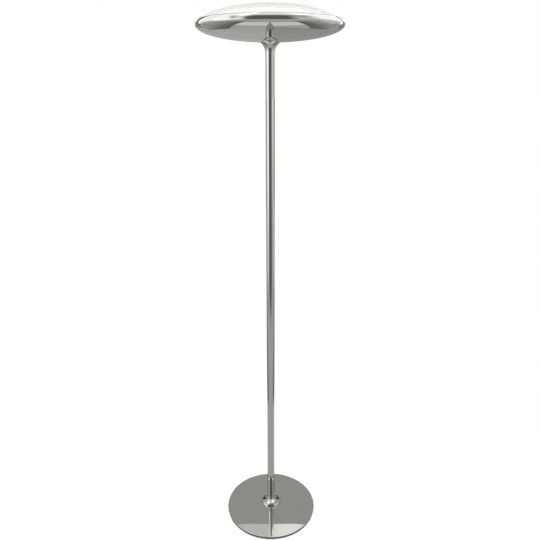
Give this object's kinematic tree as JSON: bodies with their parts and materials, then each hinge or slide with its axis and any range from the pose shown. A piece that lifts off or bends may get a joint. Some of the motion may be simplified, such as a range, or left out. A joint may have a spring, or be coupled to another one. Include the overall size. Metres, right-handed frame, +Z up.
{
  "type": "torchiere floor lamp",
  "caption": "Torchiere floor lamp with a round mirror base, slim chrome pole and a wide pebble-shaped head: a chrome dish under a lift-off opal dome that covers screw-in bulbs.",
  "frame": {"origin": "on the floor, under the middle of the round base", "axes": "+Z up along the pole; +Y to the rear, where the cord inlet in the foot dome faces; +X to the right as seen from the front"},
  "size_m": [0.432, 0.432, 1.8],
  "materials": {
    "polished_chrome": "polished",
    "zinc_steel": "satin",
    "anti_slip_foam": "matte",
    "black_rubber": "satin",
    "white_silicone": "satin",
    "opal_acrylic": "gloss",
    "white_lacquer": "gloss",
    "white_porcelain": "gloss",
    "lead_sleeve": "matte",
    "contact_brass": "satin",
    "cap_nickel": "gloss",
    "frosted_glass": "satin"
  },
  "bodies": {
    "stand": {"base_plate": "polished_chrome", "pole_tube": "polished_chrome", "neck": "polished_chrome", "dish": "polished_chrome", "base_washer": "zinc_steel", "base_bolt": "zinc_steel", "pole_lower_plug": "zinc_steel", "pole_upper_plug": "zinc_steel", "head_nipple": "zinc_steel", "dish_washer": "zinc_steel", "cluster_spacer": "zinc_steel", "cluster_lock_washer": "zinc_steel", "cluster_nut": "zinc_steel", "lid_screw": "zinc_steel", "socket_nipples": "zinc_steel", "socket_nuts": "zinc_steel", "base_pad": "anti_slip_foam", "diffuser_seal": "white_silicone", "cluster_body": "white_lacquer", "cluster_lid": "white_lacquer", "terminal_block": "white_porcelain", "lampholder_1": "white_porcelain", "lampholder_2": "white_porcelain", "lampholder_3": "white_porcelain", "holder_leads": "lead_sleeve", "socket_shells": "contact_brass", "socket_contacts": "contact_brass"},
    "foot_cover": {"foot_dome": "polished_chrome", "cord_grommet": "black_rubber"},
    "diffuser_dome": {"diffuser": "opal_acrylic"},
    "bulb_1": {"bulb_glass_1": "frosted_glass", "bulb_cap_1": "cap_nickel", "bulb_tip_1": "contact_brass"},
    "bulb_2": {"bulb_glass_2": "frosted_glass", "bulb_cap_2": "cap_nickel", "bulb_tip_2": "contact_brass"},
    "bulb_3": {"bulb_glass_3": "frosted_glass", "bulb_cap_3": "cap_nickel", "bulb_tip_3": "contact_brass"}
  },
  "joints": [
    {"name": "diffuser_lift", "type": "slide", "parent": "stand", "child": "diffuser_dome", "axis": [0, 0, 1], "range_m": [0, 0.12]},
    {"name": "foot_cover_lift", "type": "slide", "parent": "stand", "child": "foot_cover", "axis": [0, 0, 1], "range_m": [0, 0.06]},
    {"name": "bulb_1_turn", "type": "hinge", "parent": "stand", "child": "bulb_1", "pos_m": [0, 0, 1.748], "axis": [0, 1, 0], "range_deg": [0, 900]},
    {"name": "bulb_2_turn", "type": "hinge", "parent": "stand", "child": "bulb_2", "pos_m": [0, 0, 1.748], "axis": [-0.866, -0.5, 0], "range_deg": [0, 900]},
    {"name": "bulb_3_turn", "type": "hinge", "parent": "stand", "child": "bulb_3", "pos_m": [0, 0, 1.748], "axis": [0.866, -0.5, 0], "range_deg": [0, 900]}
  ]
}
